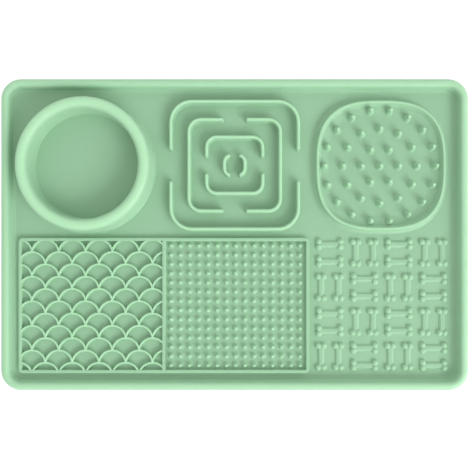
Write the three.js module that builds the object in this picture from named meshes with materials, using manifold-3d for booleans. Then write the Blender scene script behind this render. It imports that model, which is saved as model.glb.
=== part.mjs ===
// Lick mat: one moulding of soft silicone, flat underneath.
// A rim runs round a shallow tray. On the tray's floor stand a round bowl, a maze of low walls,
// a rounded cup full of pegs, a framed panel of fish scales and fine studs, and rows of bones.
//
// Millimetres. +X runs along the length, +Y from the panel towards the bowl, +Z up.
// The origin is on the underside, below the middle of the mat.
import * as THREE from 'three';
import { mergeVertices } from 'three/addons/utils/BufferGeometryUtils.js';
import Module from 'manifold-3d';

const wasm = await Module();
wasm.setup();

// The mat and its tray. FLOOR is the height of the tray's floor above the underside.
const LENGTH = 300;
const WIDTH = 200;
const CORNER = 13;
const FLOOR = 2.5;

// The plate under the floor ends inside the rim, this far from the mat's edge.
const PLATE_INSET = 6;

// How far a raised form reaches down into the floor, so that the two join.
const ROOT = 1;

// The height of a cut, whose middle is at the floor: more than that of anything it cuts.
const CUT_HEIGHT = 40;

// Points closer than this are one point.
const MERGE_DISTANCE = 1e-4;

// The rim's section, from the outer foot over the crest to the tray's floor:
// inset from the mat's edge, and height above the underside.
const RIM_COLUMNS = 28;
const RIM_SECTION = [
  { inset: 0.8, height: 0 },
  { inset: 0, height: 0.8 },
  { inset: 0, height: 6.2 },
  { inset: 0.6, height: 7.7 },
  { inset: 1.9, height: 8.5 },
  { inset: 3.3, height: 8.5 },
  { inset: 4.6, height: 7.6 },
  { inset: 5.3, height: 5.4 },
  { inset: 6.1, height: 3.8 },
  { inset: 7.5, height: 2.9 },
  { inset: 9.2, height: FLOOR },
  { inset: 9.2, height: 0 },
];

// The bowl: a ring wall, placed by the middle of its crest.
// In this and the sections below, out is measured from that line, and up from the tray's floor.
const BOWL = { x: -94.6, y: 44.3, radius: 38.6, columns: 36 };
const BOWL_SECTION = [
  { out: 6.2, up: 0 },
  { out: 4.7, up: 1.3 },
  { out: 3.7, up: 13.2 },
  { out: 2.7, up: 14.9 },
  { out: 1, up: 15.5 },
  { out: -1, up: 15.5 },
  { out: -2.7, up: 14.9 },
  { out: -3.6, up: 13.2 },
  { out: -4.3, up: 1.3 },
  { out: -5.7, up: 0 },
];

// The maze: walls of one section round four outlines. Each wall is cut open twice, on opposite sides.
const MAZE = { x: 0.2, y: 44.5 };
const MAZE_SECTION = [
  { out: 1.6, up: 0 },
  { out: 1, up: 0.9 },
  { out: 0.7, up: 5.5 },
  { out: -0.7, up: 5.5 },
  { out: -1, up: 0.9 },
  { out: -1.6, up: 0 },
];
const MAZE_WALLS = [
  { outline: roundedRectangle(41.1, 41.1, 13.4), columns: 20, gap: 19.2, gapsAlong: 'x' },
  { outline: roundedRectangle(29.4, 29.4, 7.7), columns: 16, gap: 15.2, gapsAlong: 'y' },
  { outline: roundedRectangle(18, 18, 6.4), columns: 16, gap: 9.7, gapsAlong: 'x' },
  { outline: circle(6.4), columns: 16, gap: 6.8, gapsAlong: 'y' },
];

// The cup: a low wall round a squarish oval, steep outside and hollowed inside, with pegs in rings.
const CUP = { x: 93.6, y: 44.2, half: 41.1, squareness: 2.9, columns: 36 };
const CUP_SECTION = [
  { out: 5.2, up: 0 },
  { out: 3.4, up: 0.6 },
  { out: 0.5, up: 4 },
  { out: -0.4, up: 4 },
  { out: -2, up: 2.3 },
  { out: -4.8, up: 0.8 },
  { out: -8.5, up: 0 },
];
const PEG = { rings: 3, step: 12, foot: 3, shoulder: 1.3, shoulderUp: 3.6, up: 4.4, sides: 6 };

// The panel: a raised frame with a bar across the middle, scales in the left bay, studs in the right.
const PANEL = {
  x: -45.9,
  y: -45.6,
  length: 187.1,
  width: 87.4,
  corner: 2.6,
  columns: 16,
  bar: 2.2,
  up: 2.5,
};
const FRAME_SECTION = [
  { out: 1.9, up: 0 },
  { out: 0.8, up: 0.5 },
  { out: 0.3, up: 2.2 },
  { out: -0.2, up: PANEL.up },
  { out: -PANEL.bar, up: PANEL.up },
  { out: -PANEL.bar - 0.3, up: 0 },
];

// The scales: half rings whose tops are level with the frame. A row's ends meet the next row's tops.
// The first row's tips are at firstY. Every second row starts at firstX, the others half a pitch before.
const SCALE = {
  firstX: -130.9,
  firstY: -3.8,
  pitch: 17.3,
  rowPitch: 7.81,
  rows: 11,
  columns: 6,
  ridge: 1.2,
  topSteps: 6,
  sideSteps: 2,
};

// The studs: fine cones in straight rows.
const STUD = { x: 0.9, y: -46, pitch: 5.94, columns: 15, rows: 14, foot: 1.85, up: 2, sides: 5 };

// The bones: pairs side by side in square cells, turned a quarter from one cell to the next.
const BONE_FIELD = { x: 95.2, y: -45, cells: 4, pitch: 22.4, pairSpacing: 11.3 };
const BONE = { knobAlong: 7, knobAcross: 1.95, knobRadius: 2.05, shaft: 1.6, up: 1.1, knobSteps: 4 };

// A circle, told as each outline is: for a column of vertices, its point and the way straight out.
function circle(radius) {
  return (column, columns) => {
    const angle = (column / columns) * 2 * Math.PI;
    const normal = new THREE.Vector2(Math.cos(angle), Math.sin(angle));
    return { point: normal.clone().multiplyScalar(radius), normal };
  };
}

// A rectangle with round corners: a quarter of the columns goes round each corner.
function roundedRectangle(halfX, halfY, corner) {
  return (column, columns) => {
    const perCorner = columns / 4;
    const quarter = Math.floor(column / perCorner);
    const angle = (quarter + (column % perCorner) / (perCorner - 1)) * (Math.PI / 2);
    const normal = new THREE.Vector2(Math.cos(angle), Math.sin(angle));
    const sideX = quarter === 0 || quarter === 3 ? 1 : -1;
    const sideY = quarter < 2 ? 1 : -1;
    const point = new THREE.Vector2(sideX * (halfX - corner), sideY * (halfY - corner));
    return { point: point.addScaledVector(normal, corner), normal };
  };
}

// A superellipse, a square with bulging sides.
function bulgingSquare(half, squareness) {
  return (column, columns) => {
    const angle = (column / columns) * 2 * Math.PI;
    const across = Math.cos(angle);
    const along = Math.sin(angle);
    const reach = (Math.abs(across) ** squareness + Math.abs(along) ** squareness) ** (-1 / squareness);
    const point = new THREE.Vector2(across, along).multiplyScalar(half * reach);
    const normal = new THREE.Vector2(
      Math.sign(across) * Math.abs(across) ** (squareness - 1),
      Math.sign(along) * Math.abs(along) ** (squareness - 1),
    );
    return { point, normal: normal.normalize() };
  };
}

// A closed geometry as a solid that can be joined and cut.
function solidOf(geometry) {
  geometry.deleteAttribute('normal');
  geometry.deleteAttribute('uv');
  const merged = mergeVertices(geometry, MERGE_DISTANCE);
  const mesh = new wasm.Mesh({
    numProp: 3,
    vertProperties: new Float32Array(merged.attributes.position.array),
    triVerts: new Uint32Array(merged.index.array),
  });
  return new wasm.Manifold(mesh);
}

// A solid back as a geometry.
function geometryOf(solid) {
  const { vertProperties, triVerts } = solid.getMesh();
  const geometry = new THREE.BufferGeometry();
  geometry.setAttribute('position', new THREE.BufferAttribute(vertProperties, 3));
  geometry.setIndex(new THREE.BufferAttribute(triVerts, 1));
  geometry.computeVertexNormals();
  return geometry;
}

// A wall of one closed section all round an outline: a lathe's ring, bent from a circle to it.
function ring(section, outline, columns) {
  const profile = [...section, section[0]].map(({ out, up }) => new THREE.Vector2(out, up));
  const geometry = new THREE.LatheGeometry(profile, columns);
  const { position } = geometry.attributes;
  for (let column = 0; column <= columns; column += 1) {
    const { point, normal } = outline(column % columns, columns);
    profile.forEach(({ x: out, y: up }, row) => {
      const place = point.clone().addScaledVector(normal, out);
      position.setXYZ(column * profile.length + row, place.x, place.y, up);
    });
  }
  return solidOf(geometry);
}

// A section that stands on the floor, closed by a root below it.
function rooted(section) {
  const first = section[0];
  const last = section[section.length - 1];
  return [{ out: first.out, up: -ROOT }, ...section, { out: last.out, up: -ROOT }];
}

// A flat shape raised from its root to a height above the floor.
function raised(shape, up) {
  const geometry = new THREE.ExtrudeGeometry(shape, { depth: up + ROOT, bevelEnabled: false });
  geometry.translate(0, 0, -ROOT);
  return solidOf(geometry);
}

// Points along an arc, in equal steps.
function arcPoints(x, y, radius, from, to, steps) {
  return new THREE.EllipseCurve(x, y, radius, radius, from, to, from > to).getPoints(steps);
}

function box(sizeX, sizeY, sizeZ, x = 0, y = 0, z = 0) {
  return solidOf(new THREE.BoxGeometry(sizeX, sizeY, sizeZ).translate(x, y, z));
}

function joined(solids) {
  return solids.reduce((whole, solid) => whole.add(solid));
}

// The rim with the plate that it stands round.
function tray() {
  const edge = roundedRectangle(LENGTH / 2, WIDTH / 2, CORNER);
  const section = RIM_SECTION.map(({ inset, height }) => ({ out: -inset, up: height }));
  const rim = ring(section, edge, RIM_COLUMNS);
  const plate = box(LENGTH - 2 * PLATE_INSET, WIDTH - 2 * PLATE_INSET, FLOOR, 0, 0, FLOOR / 2);
  return rim.add(plate);
}

function bowl() {
  return ring(rooted(BOWL_SECTION), circle(BOWL.radius), BOWL.columns).translate(BOWL.x, BOWL.y, 0);
}

function maze() {
  const section = rooted(MAZE_SECTION);
  const across = 100;
  const walls = MAZE_WALLS.map(({ outline, columns, gap, gapsAlong }) => {
    const cut = gapsAlong === 'x' ? box(across, gap, CUT_HEIGHT) : box(gap, across, CUT_HEIGHT);
    return ring(section, outline, columns).subtract(cut);
  });
  return joined(walls).translate(MAZE.x, MAZE.y, 0);
}

function peg() {
  const profile = [
    new THREE.Vector2(0, -ROOT),
    new THREE.Vector2(PEG.foot, -ROOT),
    new THREE.Vector2(PEG.foot, 0),
    new THREE.Vector2(PEG.shoulder, PEG.shoulderUp),
    new THREE.Vector2(0, PEG.up),
  ];
  return solidOf(new THREE.LatheGeometry(profile, PEG.sides).rotateX(Math.PI / 2));
}

// One peg in the middle, and six more in each ring than in the one inside it.
function cup() {
  const wall = ring(rooted(CUP_SECTION), bulgingSquare(CUP.half, CUP.squareness), CUP.columns);
  const pegs = [peg()];
  for (let index = 1; index <= PEG.rings; index += 1) {
    const count = 6 * index;
    for (let step = 0; step < count; step += 1) {
      const angle = (step / count) * 2 * Math.PI;
      const radius = index * PEG.step;
      pegs.push(peg().translate(radius * Math.cos(angle), radius * Math.sin(angle), 0));
    }
  }
  return joined([wall, ...pegs]).translate(CUP.x, CUP.y, 0);
}

function panelFrame() {
  const edge = roundedRectangle(PANEL.length / 2, PANEL.width / 2, PANEL.corner);
  const divider = box(PANEL.bar, PANEL.width - PANEL.bar, PANEL.up + ROOT, 0, 0, (PANEL.up - ROOT) / 2);
  return ring(rooted(FRAME_SECTION), edge, PANEL.columns).add(divider).translate(PANEL.x, PANEL.y, 0);
}

// A scale's pocket: inside its own ridge, above the ridges of the two scales of the next row.
function pocketShape() {
  const { pitch, rowPitch, ridge, topSteps, sideSteps } = SCALE;
  const radius = pitch / 2;
  const inside = radius - ridge / 2;
  const outside = radius + ridge / 2;
  const apart = Math.hypot(radius, rowPitch);
  const downRight = -Math.atan2(rowPitch, radius);
  const meetOwn = Math.acos((apart ** 2 + inside ** 2 - outside ** 2) / (2 * apart * inside));
  const meetNext = Math.acos((apart ** 2 + outside ** 2 - inside ** 2) / (2 * apart * outside));
  const own = downRight + meetOwn;
  const next = Math.PI + downRight - meetNext;
  const tip = Math.acos(radius / outside);
  return new THREE.Shape([
    ...arcPoints(0, 0, inside, own, Math.PI - own, topSteps),
    ...arcPoints(-radius, -rowPitch, outside, Math.PI - next, tip, sideSteps).slice(1),
    ...arcPoints(radius, -rowPitch, outside, Math.PI - tip, next, sideSteps).slice(1, -1),
  ]);
}

// The left bay, full height, with a pocket cut for each scale.
function scales() {
  const { pitch, rowPitch, rows, columns, firstX, firstY } = SCALE;
  const bayLength = (PANEL.length - PANEL.bar) / 2;
  const bayX = PANEL.x - PANEL.length / 4;
  const fullUp = PANEL.up + ROOT;
  const bay = box(bayLength, PANEL.width - PANEL.bar, fullUp, bayX, PANEL.y, (PANEL.up - ROOT) / 2);
  const open = box(bayLength - PANEL.bar, PANEL.width - 2 * PANEL.bar, CUT_HEIGHT, bayX, PANEL.y, 0);
  const pocket = raised(pocketShape(), CUT_HEIGHT).translate(0, 0, -CUT_HEIGHT / 2);
  const pockets = [];
  for (let row = -1; row < rows; row += 1) {
    const shift = row % 2 === 0 ? -0.5 : 0;
    for (let column = 0; column < columns; column += 1) {
      const x = firstX + (column + shift) * pitch;
      const y = firstY - row * rowPitch - pitch / 2;
      pockets.push(pocket.translate(x, y, 0));
    }
  }
  return bay.subtract(joined(pockets).intersect(open));
}

function studs() {
  const cone = new THREE.ConeGeometry(STUD.foot, STUD.up, STUD.sides).rotateX(Math.PI / 2);
  const stud = solidOf(cone.translate(0, 0, STUD.up / 2));
  const all = [];
  for (let row = 0; row < STUD.rows; row += 1) {
    for (let column = 0; column < STUD.columns; column += 1) {
      const x = STUD.x + (column - (STUD.columns - 1) / 2) * STUD.pitch;
      const y = STUD.y + (row - (STUD.rows - 1) / 2) * STUD.pitch;
      all.push(stud.translate(x, y, 0));
    }
  }
  return joined(all);
}

// A bone lying along X: a straight shaft with two round knobs at each end.
function boneShape() {
  const { knobAlong, knobAcross, knobRadius, shaft, knobSteps } = BONE;
  const notch = Math.asin(knobAcross / knobRadius);
  const neck = Math.PI + Math.asin((knobAcross - shaft) / knobRadius);
  return new THREE.Shape([
    ...arcPoints(knobAlong, knobAcross, knobRadius, neck, -notch, knobSteps),
    ...arcPoints(knobAlong, -knobAcross, knobRadius, notch, -neck, knobSteps).slice(1),
    ...arcPoints(-knobAlong, -knobAcross, knobRadius, Math.PI - neck, -Math.PI - notch, knobSteps),
    ...arcPoints(-knobAlong, knobAcross, knobRadius, Math.PI + notch, neck - Math.PI, knobSteps).slice(1),
  ]);
}

function bones() {
  const { cells, pitch, pairSpacing } = BONE_FIELD;
  const lying = raised(boneShape(), BONE.up);
  const turned = lying.rotate([0, 0, 90]);
  const all = [];
  for (let row = 0; row < cells; row += 1) {
    for (let column = 0; column < cells; column += 1) {
      const x = BONE_FIELD.x + (column - (cells - 1) / 2) * pitch;
      const y = BONE_FIELD.y - (row - (cells - 1) / 2) * pitch;
      const alongX = (row + column) % 2 === 0;
      for (const side of [-0.5, 0.5]) {
        const aside = side * pairSpacing;
        all.push(alongX ? lying.translate(x, y + aside, 0) : turned.translate(x + aside, y, 0));
      }
    }
  }
  return joined(all);
}

const raisedForms = joined([bowl(), maze(), cup(), panelFrame(), scales(), studs(), bones()]);
const silicone = new THREE.MeshStandardMaterial({ color: 0xa3d4aa, roughness: 0.55, metalness: 0 });
const mat = new THREE.Mesh(geometryOf(tray().add(raisedForms.translate(0, 0, FLOOR))), silicone);
mat.name = 'mat';

const lickMat = new THREE.Group();
lickMat.add(mat);

export default lickMat;
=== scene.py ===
# %% [markdown]
# A lick mat of soft mint silicone.
# The mat is one moulding: a rimmed tray with a round bowl, a maze of low walls, a cup full of pegs,
# a framed panel of fish scales and fine studs, and rows of small bones.
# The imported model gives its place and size. Its walls have few facets and sharp edges. Bevels could
# round them, but only as evenly as the facets are, so each form is made again here from its own
# section. The forms are joined into one skin, and the skin gets the finish of satin silicone.

import math

import bpy
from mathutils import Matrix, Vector


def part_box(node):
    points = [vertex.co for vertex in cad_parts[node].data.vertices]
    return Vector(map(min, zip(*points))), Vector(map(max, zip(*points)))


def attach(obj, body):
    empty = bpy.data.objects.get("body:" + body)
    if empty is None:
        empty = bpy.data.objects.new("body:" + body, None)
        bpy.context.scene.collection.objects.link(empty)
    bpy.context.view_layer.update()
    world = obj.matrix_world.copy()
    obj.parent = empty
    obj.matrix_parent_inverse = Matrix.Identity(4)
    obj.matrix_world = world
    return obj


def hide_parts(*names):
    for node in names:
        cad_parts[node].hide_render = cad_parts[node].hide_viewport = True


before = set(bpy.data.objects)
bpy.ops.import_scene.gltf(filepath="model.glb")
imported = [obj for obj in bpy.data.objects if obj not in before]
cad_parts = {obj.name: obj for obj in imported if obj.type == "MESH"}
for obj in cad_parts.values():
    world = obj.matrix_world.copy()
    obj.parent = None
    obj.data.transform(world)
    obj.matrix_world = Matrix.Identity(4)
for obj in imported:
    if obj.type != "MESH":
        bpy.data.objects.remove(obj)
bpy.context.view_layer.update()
mat_low, mat_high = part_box("mat")
print("the mat is", [round(size, 4) for size in mat_high - mat_low], "metres")

# %% [markdown]
# The mat is photographed from straight above, close enough that the walls on the right show their
# left sides and the bowl's crest lies further out than its foot. So the camera is a perspective one
# over the middle, at the height where the crest lies as far out as in the photograph. Its lens is
# given as a focal length in pixels, and its shift is only the photograph's own framing, a fraction
# of a pixel.

# %% The camera
IMAGE_SIZE = 470
SENSOR_WIDTH = 36
CAMERA_HEIGHT = 0.341
FOCAL_PIXELS = 520.7
FRAMING = {"x": 0.35, "y": -0.4}


def make_camera():
    data = bpy.data.cameras.new("camera")
    data.sensor_fit = "HORIZONTAL"
    data.sensor_width = SENSOR_WIDTH
    data.lens = SENSOR_WIDTH * FOCAL_PIXELS / IMAGE_SIZE
    data.shift_x = FRAMING["x"] / IMAGE_SIZE
    data.shift_y = FRAMING["y"] / IMAGE_SIZE
    camera = bpy.data.objects.new("camera", data)
    camera.location = (0, 0, CAMERA_HEIGHT)
    bpy.context.scene.collection.objects.link(camera)
    bpy.context.scene.camera = camera
    return camera


camera = make_camera()
print("camera with a lens of", round(camera.data.lens, 1), "mm at", CAMERA_HEIGHT, "metres")

# %% [markdown]
# The shapes and the finishes here are node trees. They could be linked by hand in the editor, but
# a tree that is written as code can be read through, changed and run again. One class wraps an
# output socket, so that Python's operators add Math nodes, and one method adds any node: its
# settings are set first, and then its sockets, each with a value or a wire.


# %% Node trees as code
class Wire:
    """An output socket that Python's operators work on."""

    def __init__(self, tree, socket):
        self.tree = tree
        self.socket = socket

    def beside(self, output):
        """Another output of the same node."""
        return Wire(self.tree, self.socket.node.outputs[output])

    def __add__(self, other):
        return self.tree.math("ADD", self, other)

    def __radd__(self, other):
        return self.tree.math("ADD", other, self)

    def __sub__(self, other):
        return self.tree.math("SUBTRACT", self, other)

    def __rsub__(self, other):
        return self.tree.math("SUBTRACT", other, self)

    def __mul__(self, other):
        return self.tree.math("MULTIPLY", self, other)

    def __rmul__(self, other):
        return self.tree.math("MULTIPLY", other, self)

    def __truediv__(self, other):
        return self.tree.math("DIVIDE", self, other)

    def __mod__(self, other):
        return self.tree.math("FLOORED_MODULO", self, other)


class Tree:
    """A node tree, with one method that adds any node."""

    def __init__(self, node_tree):
        self.node_tree = node_tree

    def add(self, kind, settings=None, sockets=None, output=0):
        node = self.node_tree.nodes.new(kind)
        for name, value in (settings or {}).items():
            setattr(node, name, value)
        for key, given in (sockets or {}).items():
            for value in given if isinstance(given, list) else [given]:
                if isinstance(value, Wire):
                    self.node_tree.links.new(value.socket, node.inputs[key])
                else:
                    node.inputs[key].default_value = value
        return Wire(self, node.outputs[output] if node.outputs else None)

    def math(self, operation, *values):
        return self.add("ShaderNodeMath", {"operation": operation}, dict(enumerate(values)))


print("node trees can be written as code")

# %% [markdown]
# The mat lies on a white sweep under one soft box, low at the near right, which casts shadows half
# as long again as the walls are high. Most light comes from the white room, which is brightest
# near the horizon on the far right: that light reaches the rim and the crests from all sides, but
# not the feet of the walls. More lamps could fill the shadows too, but each would leave its own
# shadow and its own gloss. The sweep glows, as one lit from below does, and so it stays white.

# %% The floor and the light
WHITE = (1, 1, 1, 1)
FLOOR_SIZE = 6.0
FLOOR_FINISH = {
    "Base Color": (0.1, 0.1, 0.1, 1),
    "Roughness": 0.9,
    "Specular IOR Level": 0.1,
    "Emission Color": WHITE,
    "Emission Strength": 0.95,
}
KEY = {"azimuth": -46, "elevation": 32, "distance": 2.5, "width": 1.8, "height": 1.0, "energy": 52}
ZENITH = 0.755
HORIZON = 1.0
TOWARDS = (0.36, 0.42)


def make_floor():
    bpy.ops.mesh.primitive_plane_add(size=FLOOR_SIZE, location=(0, 0, 0))
    floor = bpy.context.object
    floor.name = "floor"
    material = bpy.data.materials.new("white_sweep")
    material.use_nodes = True
    shader = material.node_tree.nodes["Principled BSDF"]
    for socket, value in FLOOR_FINISH.items():
        shader.inputs[socket].default_value = value
    floor.data.materials.append(material)


def make_key():
    data = bpy.data.lights.new("key", "AREA")
    data.shape = "RECTANGLE"
    data.size = KEY["width"]
    data.size_y = KEY["height"]
    data.energy = KEY["energy"]
    key = bpy.data.objects.new("key", data)
    azimuth = math.radians(KEY["azimuth"])
    elevation = math.radians(KEY["elevation"])
    towards = Vector((
        math.cos(elevation) * math.cos(azimuth),
        math.cos(elevation) * math.sin(azimuth),
        math.sin(elevation),
    ))
    key.location = towards * KEY["distance"]
    key.rotation_euler = towards.to_track_quat("Z", "Y").to_euler()
    bpy.context.scene.collection.objects.link(key)


def make_sky():
    world = bpy.data.worlds.new("studio")
    world.use_nodes = True
    world.node_tree.nodes.clear()
    tree = Tree(world.node_tree)
    direction = tree.add("ShaderNodeTexCoord", output="Generated")
    along = tree.add("ShaderNodeSeparateXYZ", sockets={"Vector": direction}, output="X")
    from_zenith = 1 - tree.math("MAXIMUM", along.beside("Z"), 0)
    sideways = 1 + TOWARDS[0] * along + TOWARDS[1] * along.beside("Y")
    strength = ZENITH + HORIZON * from_zenith * from_zenith * sideways
    background = tree.add("ShaderNodeBackground", sockets={"Color": WHITE, "Strength": strength})
    tree.add("ShaderNodeOutputWorld", sockets={"Surface": background})
    bpy.context.scene.world = world


make_floor()
make_key()
make_sky()
bpy.context.scene.view_settings.view_transform = "Standard"
print("a floor, a key lamp", KEY["distance"], "metres away, and a sky")

# %% [markdown]
# Silicone is soft to look at: light goes a little way in and comes out again, so edges glow and
# shadows are filled. Without that, the same green looks like hard plastic. On top of that, the
# crests are painted paler, as a painted highlight, and an attribute on the mesh says where. It
# could be painted by height alone, but then every wall would be pale on its flanks too. The skin
# takes the mould's fine matte grain, and the pigment is never quite even, so one noise clouds the
# colour and the gloss, and a fine one gives the grain as a bump that is too low for geometry.

# %% The silicone
MINT = (0.293, 0.492, 0.321, 1)
CLOUDED_MINT = (0.307, 0.512, 0.334, 1)
# The painted highlight: a paler mint that the crests are mixed towards, standing in for light.
PAINTED_HIGHLIGHT_MINT = (0.405, 0.675, 0.432, 1)
CLOUD = {"Scale": 22.0, "Detail": 3.0}
GRAIN = {"Scale": 2600.0, "Detail": 2.0}
GRAIN_BUMP = {"Strength": 0.35, "Distance": 0.00002}
ROUGHNESS = {"least": 0.37, "cloud": 0.06, "grain": 0.04}
SILICONE = {
    "IOR": 1.41,
    "Specular IOR Level": 0.3,
    "Subsurface Weight": 0.6,
    "Subsurface Radius": (0.85, 0.85, 0.85),
    "Subsurface Scale": 0.0009,
}
MIX = {"share": 0, "first": 6, "second": 7, "result": 2}


def mixed(tree, share, first, second):
    """A colour between two. A Mix node has several sockets of one name, so they go by number."""
    return tree.add(
        "ShaderNodeMix",
        {"data_type": "RGBA"},
        {MIX["share"]: share, MIX["first"]: first, MIX["second"]: second},
        output=MIX["result"],
    )


def make_silicone():
    material = bpy.data.materials.new("mint_silicone")
    material.use_nodes = True
    material.node_tree.nodes.clear()
    tree = Tree(material.node_tree)
    place = tree.add("ShaderNodeTexCoord", output="Object")
    cloud = tree.add("ShaderNodeTexNoise", sockets={"Vector": place, **CLOUD})
    grain = tree.add("ShaderNodeTexNoise", sockets={"Vector": place, **GRAIN})
    crest = tree.add("ShaderNodeAttribute", {"attribute_name": "crest"}, output="Fac")
    # Painted highlight: where the attribute says, the colour goes towards the paler mint.
    colour = mixed(tree, crest, mixed(tree, cloud, MINT, CLOUDED_MINT), PAINTED_HIGHLIGHT_MINT)
    roughness = ROUGHNESS["least"] + ROUGHNESS["cloud"] * cloud + ROUGHNESS["grain"] * grain
    bump = tree.add("ShaderNodeBump", sockets={"Height": grain, **GRAIN_BUMP})
    skin = tree.add(
        "ShaderNodeBsdfPrincipled",
        sockets={"Base Color": colour, "Roughness": roughness, "Normal": bump, **SILICONE},
    )
    tree.add("ShaderNodeOutputMaterial", sockets={"Surface": skin})
    return material


silicone = make_silicone()
print("material", silicone.name)

# %% [markdown]
# A form on this mat is mostly a wall: one section that follows one line. Boxes with bevels could
# make walls too, but a section holds every slope and radius in one short list. So the script needs
# lines, sections and a tree that sweeps the one along the other. Lines are plain curves, in
# millimetres like the rest of the modelling, and the finished mat is brought to metres at the end.
# They serve as patterns only and are thrown away.

# %% Lines and sections
FILLET_STEP = 15
patterns = []


def line(name, strokes, closed):
    """A curve of one or more strokes, as a pattern for the trees. A third number is a radius."""
    data = bpy.data.curves.new(name, "CURVE")
    data.dimensions = "3D"
    for stroke in strokes:
        spline = data.splines.new("POLY")
        spline.points.add(len(stroke) - 1)
        for point, (x, y, *radius) in zip(spline.points, stroke):
            point.co = (x, y, 0, 1)
            point.radius = radius[0] if radius else 1
        spline.use_cyclic_u = closed
    pattern = bpy.data.objects.new(name, data)
    bpy.context.scene.collection.objects.link(pattern)
    patterns.append(pattern)
    return pattern


def arc(x, y, radius, start, end, steps):
    """Points along an arc, from one angle to another, in degrees."""
    angles = [math.radians(start + (end - start) * step / steps) for step in range(steps + 1)]
    return [(x + radius * math.cos(angle), y + radius * math.sin(angle)) for angle in angles]


def circle(radius, columns):
    return arc(0, 0, radius, 0, 360, columns)[:-1]


def rounded_rectangle(half_x, half_y, corner, steps):
    middle_x = half_x - corner
    middle_y = half_y - corner
    return [
        *arc(middle_x, middle_y, corner, 0, 90, steps),
        *arc(-middle_x, middle_y, corner, 90, 180, steps),
        *arc(-middle_x, -middle_y, corner, 180, 270, steps),
        *arc(middle_x, -middle_y, corner, 270, 360, steps),
    ]


def bulging_square(half, squareness, columns):
    points = []
    for x, y in circle(1, columns):
        reach = (abs(x) ** squareness + abs(y) ** squareness) ** (-1 / squareness)
        points.append((x * half * reach, y * half * reach))
    return points


def soften(corners, step_angle=FILLET_STEP):
    """The points of a section, from its corners: out, up and the radius that rounds each."""
    points = []
    for before, corner, after in zip([None, *corners], corners, [*corners[1:], None]):
        place = Vector(corner[:2])
        radius = corner[2]
        if radius == 0:
            points.append(place)
            continue
        to_before = (Vector(before[:2]) - place).normalized()
        to_after = (Vector(after[:2]) - place).normalized()
        half = to_before.angle(to_after) / 2
        centre = place + (to_before + to_after).normalized() * radius / math.sin(half)
        first = place + to_before * radius / math.tan(half) - centre
        last = place + to_after * radius / math.tan(half) - centre
        turn = first.angle(last)
        steps = max(2, round(math.degrees(turn) / step_angle))
        for step in range(steps + 1):
            share = step / steps
            spoke = first * math.sin((1 - share) * turn) + last * math.sin(share * turn)
            points.append(centre + spoke / math.sin(turn))
    return [(point.x, point.y) for point in points]


print("lines and sections can be drawn")

# %% [markdown]
# Every mesh here comes out of a node tree, because most forms are copies of one small shape or a
# section along a line. The tree's sizes are named inputs, it ends by making its copies real and
# giving them the material, and its result is kept as a plain mesh.

# %% Meshes from trees
SOCKET_KINDS = {
    int: "NodeSocketInt",
    float: "NodeSocketFloat",
    bpy.types.Object: "NodeSocketObject",
}


def grow(name, build, **sizes):
    """A mesh from the tree that build makes, given its sizes."""
    group = bpy.data.node_groups.new(name, "GeometryNodeTree")
    group.interface.new_socket("Geometry", in_out="OUTPUT", socket_type="NodeSocketGeometry")
    data = bpy.data.meshes.new(name)
    piece = bpy.data.objects.new(name, data)
    bpy.context.scene.collection.objects.link(piece)
    modifier = piece.modifiers.new("tree", "NODES")
    for size in sizes:
        kind = SOCKET_KINDS[type(sizes[size])]
        group.interface.new_socket(size, in_out="INPUT", socket_type=kind)
    tree = Tree(group)
    entry = tree.add("NodeGroupInput")
    geometry = build(tree, {size: entry.beside(size) for size in sizes})
    real = tree.add("GeometryNodeRealizeInstances", sockets={"Geometry": geometry})
    finished = tree.add("GeometryNodeSetMaterial", sockets={"Geometry": real, "Material": silicone})
    tree.add("NodeGroupOutput", sockets={"Geometry": finished})
    modifier.node_group = group
    for item in group.interface.items_tree:
        if item.in_out == "INPUT":
            modifier[item.identifier] = sizes[item.name]
    evaluated = piece.evaluated_get(bpy.context.evaluated_depsgraph_get())
    piece.modifiers.clear()
    piece.data = bpy.data.meshes.new_from_object(evaluated)
    piece.data.name = name
    bpy.data.meshes.remove(data)
    piece.data.calc_loop_triangles()
    print("made", name, "of", len(piece.data.loop_triangles), "triangles")
    return piece


def swept(tree, path, section, caps=False, scale=1.0):
    """A section swept along a path that turns left: its X is the way out and its -Y the way up."""
    upright = tree.add("GeometryNodeSetCurveNormal", {"mode": "Z_UP"}, {"Curve": path})
    return tree.add(
        "GeometryNodeCurveToMesh",
        sockets={"Curve": upright, "Profile Curve": section, "Scale": scale, "Fill Caps": caps},
    )


def shape_of(tree, pattern):
    return tree.add("GeometryNodeObjectInfo", sockets={"Object": pattern}, output="Geometry")


def moved(tree, geometry, x, y, z=0.0):
    return tree.add(
        "GeometryNodeTransform",
        sockets={"Geometry": geometry, "Translation": (x, y, z)},
    )


def united(tree, *operands):
    return tree.add(
        "GeometryNodeMeshBoolean",
        {"operation": "UNION", "solver": "MANIFOLD"},
        {"Mesh 2": list(operands)},
        output="Mesh",
    )


print("trees can be grown")

# %% [markdown]
# Everything that stands on the tray's floor is drawn from the floor up, so the floor is at zero
# until the mat is whole. A section is a short list of corners: how far out from its line, how far
# up, and the radius that rounds it. The first and the last corner only tell the foot's fillet
# which way the floor runs. Solids that only touch don't join well, so each section goes on below
# the floor as a root, and its foot sits a hair's breadth low, where the fillet cuts the floor
# cleanly.

# %% Sections that stand on the floor
ROOT = 1.0
SINK = 0.03
SEAM_MERGE = 0.001


def wall_section(name, corners, step_angle=FILLET_STEP):
    """A closed section with a root on both sides."""
    points = soften(corners, step_angle)[1:-1]
    rooted = [(points[0][0], -ROOT), *points, (points[-1][0], -ROOT)]
    return line(name, [[(out, SINK - up) for out, up in reversed(rooted)]], True)


def turned_section(name, corners, step_angle=FILLET_STEP):
    """A section from a round form's foot in to its middle, to be swept along a circle of radius 1."""
    points = soften(corners, step_angle)[1:]
    rooted = [(0, -ROOT), (points[0][0], -ROOT), *points]
    return line(name, [[(radius - 1, SINK - up) for radius, up in reversed(rooted)]], False)


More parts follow.
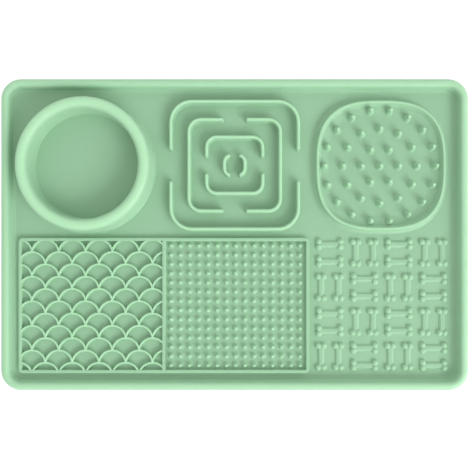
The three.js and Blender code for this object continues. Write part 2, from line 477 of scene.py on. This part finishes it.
def turned(tree, section, columns):
    """A round form in the middle, from a turned section."""
    path = tree.add(
        "GeometryNodeCurvePrimitiveCircle",
        {"mode": "RADIUS"},
        {"Resolution": columns, "Radius": 1.0},
    )
    skin = swept(tree, path, section)
    return tree.add(
        "GeometryNodeMergeByDistance",
        sockets={"Geometry": skin, "Distance": SEAM_MERGE},
    )


print("sections stand on the floor, with roots", ROOT, "mm deep")

# %% [markdown]
# The tray is a plate with a rim round it. The rim is a full round bead, which comes out of a mould
# easily. It is steep on the inside, with a short gentle slope at its foot that a tongue can reach.
# A bevelled box with a pocket could be a tray as well, but its bevels would have one radius all
# over. One section swept round the outline has each its own, and its corners come out even.

# %% The tray
FLOOR = 2.5
HALF_LENGTH = 150.0
HALF_WIDTH = 100.0
CORNER = 13.0
CORNER_STEPS = 12
PLATE_INSET = 6.0
RIM_UP = 6.0
RIM = [
    (-9.4, -FLOOR, 0),
    (0, -FLOOR, 0.6),
    (0, RIM_UP, 3.0),
    (-5.3, RIM_UP, 2.25),
    (-6.3, 0.7, 0.4),
    (-8.4, -SINK, 2.0),
    (-9.4, -SINK, 0),
]


def build_tray(tree, sizes):
    rim = swept(tree, shape_of(tree, sizes["edge"]), shape_of(tree, sizes["section"]))
    span = tree.add(
        "ShaderNodeCombineXYZ",
        sockets={"X": sizes["length"], "Y": sizes["width"], "Z": sizes["floor"]},
    )
    plate = tree.add("GeometryNodeMeshCube", sockets={"Size": span}, output="Mesh")
    return united(tree, rim, moved(tree, plate, 0, 0, -FLOOR / 2))


def make_tray():
    outline = rounded_rectangle(HALF_LENGTH, HALF_WIDTH, CORNER, CORNER_STEPS)
    edge = line("edge", [outline], True)
    section = line("rim", [[(out, -up) for out, up in reversed(soften(RIM))]], True)
    return grow(
        "tray",
        build_tray,
        edge=edge,
        section=section,
        length=2 * (HALF_LENGTH - PLATE_INSET),
        width=2 * (HALF_WIDTH - PLATE_INSET),
        floor=FLOOR,
    )


tray = make_tray()

# %% [markdown]
# The bowl's wall is the tallest form. It leans a little on both sides, as a mould asks, and its
# crest is a half round of 7 mm. It could be turned with Spin, but the sweep that makes the rim
# makes it too, as one section round a circle, and its foot is ready to join the floor.

# %% The bowl
BOWL = {"x": -95.3, "y": 44.4, "radius": 38.3, "columns": 96}
BOWL_UP = 15.5
BOWL_WALL = [
    (7.0, 0, 0),
    (5.0, 0, 1.5),
    (3.7, BOWL_UP + SINK, 3.4),
    (-3.55, BOWL_UP + SINK, 3.4),
    (-4.35, 0, 0.35),
    (-5.5, 0, 0),
]


def build_wall(tree, sizes):
    radius = tree.add("GeometryNodeInputRadius")
    return swept(tree, shape_of(tree, sizes["path"]), shape_of(tree, sizes["section"]), True, radius)


def make_bowl():
    path = line("bowl_line", [circle(BOWL["radius"], BOWL["columns"])], True)
    section = wall_section("bowl_wall", BOWL_WALL)
    return grow("bowl", build_wall, path=path, section=section)


bowl = make_bowl()

# %% [markdown]
# The maze is eight walls of one thin section, two round each of four outlines, that leave gaps on
# opposite sides. The outlines are squares with round corners, and the innermost is nearly a circle.
# Closed rings with boxes cut out of them would have flat, sharp ends. The real ends are rounded,
# so each wall is a line of its own, and over its last millimetre or so the section shrinks as an
# ellipse does. The curve's radius at each point says by how much.

# %% The maze
MAZE = {"x": -0.05, "y": 44.5}
MAZE_UP = 5.5
MAZE_WALL = [
    (2.4, 0, 0),
    (1.25, 0, 0.7),
    (1.1, MAZE_UP + SINK, 1.0),
    (-1.1, MAZE_UP + SINK, 1.0),
    (-1.25, 0, 0.7),
    (-2.4, 0, 0),
]
MAZE_OUTLINES = [
    {"half": 40.9, "corner": 13.4, "gap": 19.2, "steps": 9, "turn": 0},
    {"half": 29.3, "corner": 7.7, "gap": 13.8, "steps": 7, "turn": 90},
    {"half": 18.0, "corner": 6.4, "gap": 9.7, "steps": 6, "turn": 0},
    {"half": 6.6, "corner": 4.8, "gap": 4.9, "steps": 7, "turn": 90},
]
END_LENGTH = 1.3
END_STEPS = 5
END_ANGLE = 85


def turn_about(points, degrees):
    """Points turned about the middle."""
    cosine = math.cos(math.radians(degrees))
    sine = math.sin(math.radians(degrees))
    return [(x * cosine - y * sine, x * sine + y * cosine) for x, y in points]


def maze_wall(outline):
    """One wall of an outline, above its gaps. A wide gap takes a part of the round corners."""
    half = outline["half"]
    corner = outline["corner"]
    steps = outline["steps"]
    middle = half - corner
    low = outline["gap"] / 2 + END_LENGTH
    first = math.degrees(math.asin(max(0, low - middle) / corner))
    right_corner = arc(middle, middle, corner, first, 90, steps)
    left_corner = arc(-middle, middle, corner, 90, 180 - first, steps)
    points = [*right_corner, *left_corner]
    if first == 0:
        points = [(half, low), *points, (-half, low)]
    return points


def rounded_end(inner, end):
    """Points that carry a line on past its end, and how much of the section is left at each."""
    ahead = (Vector(end) - Vector(inner)).normalized()
    points = []
    for step in range(1, END_STEPS + 1):
        angle = math.radians(step * END_ANGLE / END_STEPS)
        place = Vector(end) + ahead * END_LENGTH * math.sin(angle)
        points.append((place.x, place.y, math.cos(angle)))
    return points


def with_rounded_ends(points):
    before = rounded_end(points[1], points[0])
    after = rounded_end(points[-2], points[-1])
    return [*reversed(before), *[(x, y, 1.0) for x, y in points], *after]


def maze_walls():
    walls = []
    for outline in MAZE_OUTLINES:
        wall = maze_wall(outline)
        for half_turn in (0, 180):
            walls.append(with_rounded_ends(turn_about(wall, outline["turn"] + half_turn)))
    return walls


def make_maze():
    path = line("maze_lines", maze_walls(), False)
    section = wall_section("maze_wall", MAZE_WALL)
    return grow("maze", build_wall, path=path, section=section)


maze = make_maze()

# %% [markdown]
# The cup is a low wall round a squarish oval. Outside it is steep with a wide cove at its foot, its
# crest is thin, and inside it falls off into a shallow dish. In it stand 37 pegs, one in the
# middle and then rings of 6, 12 and 18. The wall is a sweep. The pegs could be placed one by one,
# but as copies on the points of three circles their rings stay even, and one peg is drawn for all.

# %% The cup and its pegs
CUP = {"x": 94.15, "y": 44.6, "half": 40.8, "squareness": 2.82, "columns": 96}
CUP_UP = 4.0
CUP_WALL = [
    (5.4, 0, 0),
    (1.9, 0, 3.0),
    (0.7, CUP_UP, 0.6),
    (-0.6, CUP_UP, 0.5),
    (-2.5, 1.1, 1.0),
    (-6.6, 0.15, 12.0),
    (-10.0, 0, 0),
]
PEG_UP = 5.6
PEG_SHIFT = -0.2
PEG = [
    (3.8, 0, 0),
    (2.6, 0, 1.0),
    (1.05, PEG_UP, 1.0),
    (0, PEG_UP, 0),
]
PEG_COLUMNS = 18
PEG_RINGS = [(6, 12.0), (12, 24.0), (18, 36.0)]


def build_pegs(tree, sizes):
    places = [tree.add("GeometryNodePoints", sockets={"Count": 1})]
    for count, radius in PEG_RINGS:
        ring = tree.add("GeometryNodeMeshCircle", sockets={"Vertices": count, "Radius": radius})
        places.append(tree.add("GeometryNodeMeshToPoints", sockets={"Mesh": ring}))
    points = tree.add("GeometryNodeJoinGeometry", sockets={"Geometry": places})
    peg = turned(tree, shape_of(tree, sizes["section"]), sizes["columns"])
    return tree.add("GeometryNodeInstanceOnPoints", sockets={"Points": points, "Instance": peg})


def make_cup():
    path = line("cup_line", [bulging_square(CUP["half"], CUP["squareness"], CUP["columns"])], True)
    section = wall_section("cup_wall", CUP_WALL)
    return grow("cup", build_wall, path=path, section=section)


def make_pegs():
    section = turned_section("peg", PEG)
    return grow("pegs", build_pegs, section=section, columns=PEG_COLUMNS)


cup = make_cup()
pegs = make_pegs()

# %% [markdown]
# The panel is a flat-topped frame with a bar across its middle, and each bay keeps its own food.
# Two pockets cut into a block would give the same frame, but not its soft feet. So the frame is
# swept round the panel's outline, and the bar along a straight line into the frame on both sides.

# %% The panel's frame
PANEL = {
    "x": -45.75,
    "y": -45.8,
    "half_length": 93.7,
    "half_width": 43.5,
    "corner": 2.6,
    "steps": 6,
    "bar": 1.9,
}
FRAME_UP = 2.5
FRAME_BAR = [
    (1.4, 0, 0),
    (0.4, 0, 0.3),
    (0.15, FRAME_UP, 0.4),
    (-1.75, FRAME_UP, 0.4),
    (-1.95, 0, 0.25),
    (-2.7, 0, 0),
]
MIDDLE_BAR_UP = 2.47
MIDDLE_BAR = [
    (2.2, 0, 0),
    (1.25, 0, 0.3),
    (1.05, MIDDLE_BAR_UP, 0.5),
    (-1.05, MIDDLE_BAR_UP, 0.5),
    (-1.25, 0, 0.3),
    (-2.2, 0, 0),
]


def build_frame(tree, sizes):
    edge = swept(tree, shape_of(tree, sizes["edge"]), shape_of(tree, sizes["edge_section"]))
    bar = swept(tree, shape_of(tree, sizes["bar"]), shape_of(tree, sizes["bar_section"]), True)
    return united(tree, edge, bar)


def make_frame():
    half_length = PANEL["half_length"]
    half_width = PANEL["half_width"]
    outline = rounded_rectangle(half_length, half_width, PANEL["corner"], PANEL["steps"])
    reach = half_width - PANEL["bar"] / 2
    return grow(
        "frame",
        build_frame,
        edge=line("frame_edge", [outline], True),
        edge_section=wall_section("frame_bar", FRAME_BAR),
        bar=line("middle_line", [[(0, -reach), (0, reach)]], False),
        bar_section=wall_section("middle_bar", MIDDLE_BAR),
    )


panel_frame = make_frame()

# %% [markdown]
# The fish scales are half rings of one thin ridge with soft edges, in rows that are shifted by
# half a scale, so that the ends of each row's rings stand on the tops of the next row's. They are
# about as high as the frame and throw shadows, so a bump in the material would not do. A grid gives
# the middles, every second row is moved over, and a box cuts away what would come out on the other
# side of the frame.

# %% The fish scales
SCALE = {
    "first_x": -131.0,
    "first_y": -3.2,
    "pitch": 17.3,
    "row_pitch": 7.95,
    "rows": 11,
    "columns": 6,
    "steps": 14,
}
RIDGE_UP = 2.45
RIDGE = [
    (1.7, 0, 0),
    (0.78, 0, 0.4),
    (0.6, RIDGE_UP, 0.35),
    (-0.6, RIDGE_UP, 0.35),
    (-0.78, 0, 0.4),
    (-1.7, 0, 0),
]
RIDGE_STEP = 22
SCALE_MIDDLE = (
    SCALE["first_x"] + (SCALE["columns"] - 1) / 2 * SCALE["pitch"],
    SCALE["first_y"] - SCALE["pitch"] / 2 - (SCALE["rows"] - 1) / 2 * SCALE["row_pitch"],
)
INTO_BAR = 0.7
BAY_MIDDLE = (PANEL["x"] - PANEL["half_length"] / 2 + PANEL["bar"] / 4, PANEL["y"])
BAY_LENGTH = PANEL["half_length"] - PANEL["bar"] * 1.5
BAY_WIDTH = 2 * (PANEL["half_width"] - PANEL["bar"])
BAY_HEIGHT = 9.0


def build_scales(tree, sizes):
    pitch = sizes["pitch"]
    rows = sizes["rows"]
    columns = sizes["columns"]
    row_pitch = sizes["row_pitch"]
    grid = tree.add(
        "GeometryNodeMeshGrid",
        sockets={
            "Size X": (columns - 1) * pitch,
            "Size Y": (rows - 1) * row_pitch,
            "Vertices X": columns,
            "Vertices Y": rows,
        },
        output="Mesh",
    )
    index = tree.add("GeometryNodeInputIndex")
    even_row = 1 - (index % rows) % 2
    shift = tree.add("ShaderNodeCombineXYZ", sockets={"X": even_row * pitch * -0.5})
    middles = tree.add("GeometryNodeSetPosition", sockets={"Geometry": grid, "Offset": shift})
    ridge = swept(tree, shape_of(tree, sizes["arch"]), shape_of(tree, sizes["section"]), True)
    arches = tree.add("GeometryNodeInstanceOnPoints", sockets={"Points": middles, "Instance": ridge})
    bay_size = tree.add(
        "ShaderNodeCombineXYZ",
        sockets={"X": sizes["bay_x"], "Y": sizes["bay_y"], "Z": sizes["bay_z"]},
    )
    bay = tree.add("GeometryNodeMeshCube", sockets={"Size": bay_size}, output="Mesh")
    placed = moved(tree, united(tree, arches), *SCALE_MIDDLE)
    return tree.add(
        "GeometryNodeMeshBoolean",
        {"operation": "INTERSECT", "solver": "MANIFOLD"},
        {"Mesh 2": [placed, moved(tree, bay, *BAY_MIDDLE)]},
        output="Mesh",
    )


def make_scales():
    arch = arc(0, 0, SCALE["pitch"] / 2, 0, 180, SCALE["steps"])
    return grow(
        "scales",
        build_scales,
        arch=line("arch", [arch], False),
        section=wall_section("ridge", RIDGE, RIDGE_STEP),
        pitch=SCALE["pitch"],
        row_pitch=SCALE["row_pitch"],
        rows=SCALE["rows"],
        columns=SCALE["columns"],
        bay_x=BAY_LENGTH + 2 * INTO_BAR,
        bay_y=BAY_WIDTH + 2 * INTO_BAR,
        bay_z=BAY_HEIGHT,
    )


scales = make_scales()

# %% [markdown]
# The studs are small blunt cones, 15 by 14, each with a soft foot. They could be raised out of one
# fine sheet by displacement, but that takes far more faces than copies of one cone on a grid. With
# so many of them, each has only a few dozen faces, which its size never shows.

# %% The studs
STUD_FIELD = {"x": 0.5, "y": -45.85, "pitch": 5.965, "columns": 15, "rows": 14}
STUD_UP = 2.6
STUD = [
    (3.2, 0, 0),
    (1.85, 0, 1.0),
    (0.7, STUD_UP, 0.65),
    (0, STUD_UP, 0),
]
STUD_STEP = 35
STUD_SIDES = 8


def build_studs(tree, sizes):
    grid = tree.add(
        "GeometryNodeMeshGrid",
        sockets={
            "Size X": (sizes["columns"] - 1) * sizes["pitch"],
            "Size Y": (sizes["rows"] - 1) * sizes["pitch"],
            "Vertices X": sizes["columns"],
            "Vertices Y": sizes["rows"],
        },
        output="Mesh",
    )
    stud = turned(tree, shape_of(tree, sizes["section"]), sizes["sides"])
    return tree.add("GeometryNodeInstanceOnPoints", sockets={"Points": grid, "Instance": stud})


def make_studs():
    return grow(
        "studs",
        build_studs,
        section=turned_section("stud", STUD, STUD_STEP),
        columns=STUD_FIELD["columns"],
        rows=STUD_FIELD["rows"],
        pitch=STUD_FIELD["pitch"],
        sides=STUD_SIDES,
    )


studs = make_studs()

# %% [markdown]
# The bones lie two by two in sixteen square cells, turned a quarter from one cell to the next.
# A bone is a low rounded bar with two low domes at each end. A bone's outline, extruded, would be
# flat on top, so bar and domes are made as forms of their own and joined. The bone is then copied:
# a pair side by side, and the pairs on a grid, turned by a quarter wherever row and column add up
# to an even number.

# %% The bones
BONE_FIELD = {"x": 95.3, "y": -45.5, "cells": 4, "pitch": 22.45, "pair_spacing": 11.3}
BONE = {"knob_along": 7.0, "knob_across": 1.75, "columns": 14}
KNOB_UP = 1.95
KNOB = [
    (3.1, 0, 0),
    (2.2, 0, 0.5),
    (1.75, KNOB_UP, 1.7),
    (0, KNOB_UP, 0),
]
SHAFT = [
    (3.4, 0, 0),
    (2.05, 0, 1.2),
    (1.3, 1.15, 1.2),
    (-1.3, 1.15, 1.2),
    (-2.05, 0, 1.2),
    (-3.4, 0, 0),
]
BONE_STEP = 20


def aside_moved(tree, geometry, aside):
    place = tree.add("ShaderNodeCombineXYZ", sockets={"Y": aside})
    return tree.add("GeometryNodeTransform", sockets={"Geometry": geometry, "Translation": place})


def build_bones(tree, sizes):
    knob = turned(tree, shape_of(tree, sizes["knob"]), sizes["columns"])
    along = BONE["knob_along"]
    across = BONE["knob_across"]
    knobs = [moved(tree, knob, side * along, end * across) for side in (-1, 1) for end in (-1, 1)]
    shaft = swept(tree, shape_of(tree, sizes["line"]), shape_of(tree, sizes["shaft"]), True)
    bone = united(tree, shaft, *knobs)
    aside = sizes["pair_spacing"] / 2
    pair = tree.add(
        "GeometryNodeJoinGeometry",
        sockets={"Geometry": [aside_moved(tree, bone, aside), aside_moved(tree, bone, 0 - aside)]},
    )
    span = (sizes["cells"] - 1) * sizes["pitch"]
    grid = tree.add(
        "GeometryNodeMeshGrid",
        sockets={
            "Size X": span,
            "Size Y": span,
            "Vertices X": sizes["cells"],
            "Vertices Y": sizes["cells"],
        },
        output="Mesh",
    )
    index = tree.add("GeometryNodeInputIndex")
    column = tree.math("FLOOR", index / sizes["cells"])
    turned_over = (index + column + 1) % 2
    turn = tree.add("ShaderNodeCombineXYZ", sockets={"Z": turned_over * (math.pi / 2)})
    return tree.add(
        "GeometryNodeInstanceOnPoints",
        sockets={"Points": grid, "Instance": pair, "Rotation": turn},
    )


def make_bones():
    return grow(
        "bones",
        build_bones,
        knob=turned_section("knob", KNOB, BONE_STEP),
        shaft=wall_section("shaft", SHAFT, BONE_STEP),
        line=line("shaft_line", [[(-BONE["knob_along"], 0), (BONE["knob_along"], 0)]], False),
        columns=BONE["columns"],
        cells=BONE_FIELD["cells"],
        pitch=BONE_FIELD["pitch"],
        pair_spacing=BONE_FIELD["pair_spacing"],
    )


bones = make_bones()

# %% [markdown]
# The real mat comes out of one mould in one shot of silicone, so it is one skin here too. Each form
# first marks its own crest, where the silicone paints a highlight, in the attribute that the silicone
# reads. Laid into one another as separate shells they would look the same from far off, but light
# would scatter at the walls that are hidden inside. So they are joined as solids, which leaves
# nothing inside, and brought to metres with the underside at zero.

# %% One skin
MILLIMETRE = 0.001
SKIN_MERGE = 0.004
# Where the crests get painted highlight: a share of each form's height, and how far they face up.
PAINTED_LIGHT_HEIGHT = (0.5, 0.85)
PAINTED_LIGHT_SLOPE = (0.58, 1.0)
# Each form's last number is how much painted highlight its crest gets.
SPOTS = {
    "tray": {"x": 0, "y": 0, "up": RIM_UP, "painted_light_share": 0.6},
    "bowl": {"x": BOWL["x"], "y": BOWL["y"], "up": BOWL_UP, "painted_light_share": 0.95},
    "maze": {"x": MAZE["x"], "y": MAZE["y"], "up": MAZE_UP, "painted_light_share": 0.85},
    "cup": {"x": CUP["x"], "y": CUP["y"], "up": CUP_UP, "painted_light_share": 0.55},
    "pegs": {"x": CUP["x"] + PEG_SHIFT, "y": CUP["y"] + PEG_SHIFT, "up": PEG_UP, "painted_light_share": 0.9},
    "frame": {"x": PANEL["x"], "y": PANEL["y"], "up": FRAME_UP, "painted_light_share": 0.2},
    "scales": {"x": 0, "y": 0, "up": RIDGE_UP, "painted_light_share": 0.8},
    "studs": {"x": STUD_FIELD["x"], "y": STUD_FIELD["y"], "up": STUD_UP, "painted_light_share": 0.9},
    "bones": {"x": BONE_FIELD["x"], "y": BONE_FIELD["y"], "up": KNOB_UP, "painted_light_share": 0.3},
}


def ramp(tree, value, start, end):
    """From 0 to 1 as a value goes from start to end."""
    return tree.add(
        "ShaderNodeMapRange",
        sockets={"Value": value, "From Min": start, "From Max": end},
    )


def with_painted_crest_light(tree, geometry, up, painted_light_share):
    """A form that marks its crest for a painted highlight: high up, and facing up."""
    place = tree.add("GeometryNodeInputPosition")
    height = tree.add("ShaderNodeSeparateXYZ", sockets={"Vector": place}, output="Z")
    normal = tree.add("GeometryNodeInputNormal")
    slope = tree.add("ShaderNodeSeparateXYZ", sockets={"Vector": normal}, output="Z")
    # Painted highlight: the share of paler mint grows with height and with facing up.
    high_up = ramp(tree, height, up * PAINTED_LIGHT_HEIGHT[0], up * PAINTED_LIGHT_HEIGHT[1])
    crest = painted_light_share * high_up * ramp(tree, slope, *PAINTED_LIGHT_SLOPE)
    return tree.add(
        "GeometryNodeStoreNamedAttribute",
        {"data_type": "FLOAT", "domain": "POINT"},
        {"Geometry": geometry, "Name": "crest", "Value": crest},
    )


def build_mat(tree, sizes):
    placed = []
    for name in sizes:
        spot = SPOTS[name]
        form = with_painted_crest_light(tree, shape_of(tree, sizes[name]), spot["up"], spot["painted_light_share"])
        placed.append(moved(tree, form, spot["x"], spot["y"], FLOOR))
    whole = united(tree, *placed)
    clean = tree.add(
        "GeometryNodeMergeByDistance",
        sockets={"Geometry": whole, "Distance": SKIN_MERGE},
    )
    smooth = tree.add(
        "GeometryNodeSetShadeSmooth",
        {"domain": "FACE"},
        {"Geometry": clean, "Shade Smooth": True},
    )
    return tree.add(
        "GeometryNodeTransform",
        sockets={"Geometry": smooth, "Scale": (MILLIMETRE,) * 3},
    )


forms = [tray, bowl, maze, cup, pegs, panel_frame, scales, studs, bones]
mat = grow("lick_mat", build_mat, **{form.name: form for form in forms})

# %% [markdown]
# A fillet on a mould is a smooth round, and the flat beside it is truly flat. So the normals are
# weighted by face area: flats stay flat, and the fillets blend into them. The weights are kept in
# the mesh. Then the lines and the single forms, which were only patterns, are thrown away.

# %% Soft fillets and true flats
weigh = mat.modifiers.new("weigh", "WEIGHTED_NORMAL")
weigh.mode = "FACE_AREA"
evaluated = mat.evaluated_get(bpy.context.evaluated_depsgraph_get())
weighted = bpy.data.meshes.new_from_object(evaluated)
mat.modifiers.clear()
mat.data = weighted
mat.data.name = "lick_mat"

for pattern in [*patterns, *forms]:
    bpy.data.objects.remove(pattern)
print("the mat's normals are weighted, and its patterns are gone")

# %% [markdown]
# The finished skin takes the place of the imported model's plain one. It rests on the same body,
# which the mat never leaves, and it has the same silicone and the same box.

# %% The mat in its place
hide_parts("mat")
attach(mat, "root")
